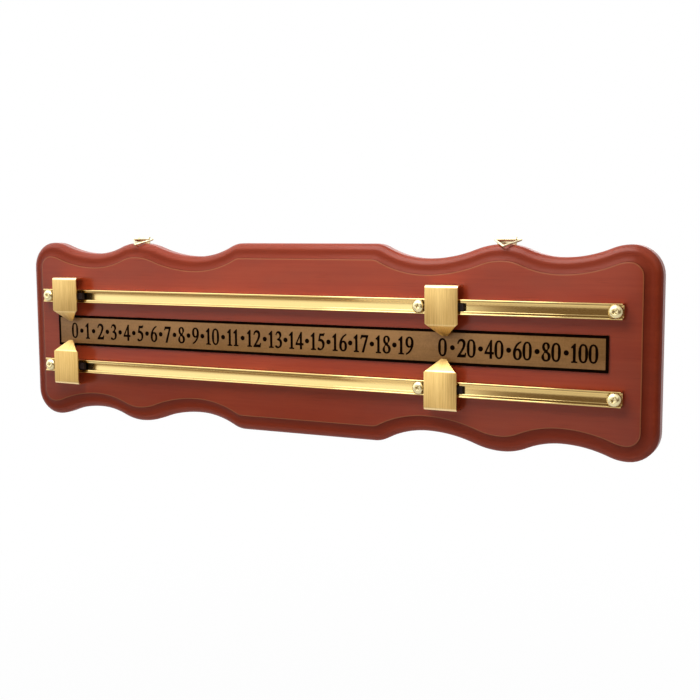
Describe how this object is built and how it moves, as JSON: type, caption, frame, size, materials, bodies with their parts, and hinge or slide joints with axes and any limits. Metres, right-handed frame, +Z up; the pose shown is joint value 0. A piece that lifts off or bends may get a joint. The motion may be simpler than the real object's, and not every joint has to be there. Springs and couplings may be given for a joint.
{
  "type": "billiard scoreboard",
  "caption": "Wavy-edged wooden wall scoreboard with a number strip, slotted gold rails carrying sliding bent-brass pointers, and swinging hanging rings.",
  "frame": {"origin": "middle of the board's back face, in the plane of the wall", "axes": "+X to the viewer's right along the board's length, +Y into the wall, +Z up; the numbers face -Y"},
  "size_m": [0.508, 0.0235, 0.1446],
  "materials": {
    "stained_hardwood": "red-brown stain under satin lacquer",
    "bronze_plate": "gold-brown anodised plate printed in black",
    "adhesive_sheet": "double-sided adhesive sheet",
    "gold_anodised_rail": "polished, pale gold anodised",
    "brushed_brass": "brushed along its length and lacquered",
    "pale_brass": "bright plated",
    "black_nylon": "moulded",
    "spring_bronze": "rolled phosphor bronze strip"
  },
  "bodies": {
    "board": {"backboard": "stained_hardwood", "number_plate": "bronze_plate", "number_plate_adhesive": "adhesive_sheet", "upper_rail": "gold_anodised_rail", "upper_rail_screws": "pale_brass", "lower_rail": "gold_anodised_rail", "lower_rail_screws": "pale_brass", "left_hanger_strap": "pale_brass", "left_hanger_screws": "pale_brass", "right_hanger_strap": "pale_brass", "right_hanger_screws": "pale_brass"},
    "upper_left_slider": {"upper_left_pointer": "brushed_brass", "upper_left_runner": "black_nylon", "upper_left_rivet": "pale_brass", "upper_left_spring": "spring_bronze"},
    "upper_right_slider": {"upper_right_pointer": "brushed_brass", "upper_right_runner": "black_nylon", "upper_right_rivet": "pale_brass", "upper_right_spring": "spring_bronze"},
    "lower_left_slider": {"lower_left_pointer": "brushed_brass", "lower_left_runner": "black_nylon", "lower_left_rivet": "pale_brass", "lower_left_spring": "spring_bronze"},
    "lower_right_slider": {"lower_right_pointer": "brushed_brass", "lower_right_runner": "black_nylon", "lower_right_rivet": "pale_brass", "lower_right_spring": "spring_bronze"},
    "left_ring": {"left_hanger_ring": "pale_brass"},
    "right_ring": {"right_hanger_ring": "pale_brass"}
  },
  "joints": [
    {"name": "upper_left_slide", "type": "slide", "parent": "board", "child": "upper_left_slider", "axis": [1, 0, 0], "range_m": [-0.00185, 0.28795]},
    {"name": "upper_right_slide", "type": "slide", "parent": "board", "child": "upper_right_slider", "axis": [1, 0, 0], "range_m": [-0.00085, 0.09995]},
    {"name": "lower_left_slide", "type": "slide", "parent": "board", "child": "lower_left_slider", "axis": [1, 0, 0], "range_m": [-0.00135, 0.28845]},
    {"name": "lower_right_slide", "type": "slide", "parent": "board", "child": "lower_right_slider", "axis": [1, 0, 0], "range_m": [-0.00025, 0.10055]},
    {"name": "left_ring_swing", "type": "hinge", "parent": "board", "child": "left_ring", "pos_m": [-0.1484, -0.0021, 0.073], "axis": [-1, 0, 0], "range_deg": [0, 250]},
    {"name": "right_ring_swing", "type": "hinge", "parent": "board", "child": "right_ring", "pos_m": [0.1506, -0.0021, 0.073], "axis": [-1, 0, 0], "range_deg": [0, 250]}
  ]
}
